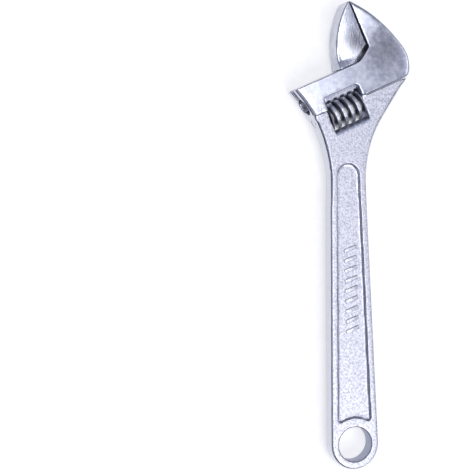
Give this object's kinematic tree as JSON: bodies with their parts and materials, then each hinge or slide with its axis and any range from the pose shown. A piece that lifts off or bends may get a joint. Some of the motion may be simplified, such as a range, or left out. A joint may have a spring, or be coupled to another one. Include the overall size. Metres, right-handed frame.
{
  "type": "adjustable wrench",
  "caption": "Adjustable wrench: a forged handle with a hang hole, a fixed jaw, and a sliding jaw that a worm in the head drives along a slot",
  "frame": {"origin": "centre of the hang hole, on the middle plane of the wrench", "axes": "+Y up the handle to the jaws, +X to the fixed jaw's side, +Z through the thickness"},
  "size_m": [0.0531, 0.2034, 0.0132],
  "materials": {
    "forging": "satin chrome over a forged surface",
    "jaw": "satin chrome",
    "worm": "bright turned steel",
    "pin": "ground steel",
    "spring": "drawn wire"
  },
  "bodies": {
    "body": {"body": "forging", "worm_pin": "pin", "worm_spring": "spring"},
    "jaw": {"movable_jaw": "jaw"},
    "worm": {"worm": "worm"}
  },
  "joints": [
    {"name": "worm_spin", "type": "hinge", "parent": "body", "child": "worm", "pos_m": [-0.00031, 0.14539, 0], "axis": [0.9239, 0.3827, 0], "range_deg": [0, 2520]},
    {"name": "jaw_slide", "type": "slide", "parent": "body", "child": "jaw", "axis": [-0.9239, -0.3827, 0], "range_m": [0, 0.0245]}
  ],
  "couplings": [
    {"joint": "worm_spin", "follows": "jaw_slide", "rad_per_m": 1795.2}
  ]
}
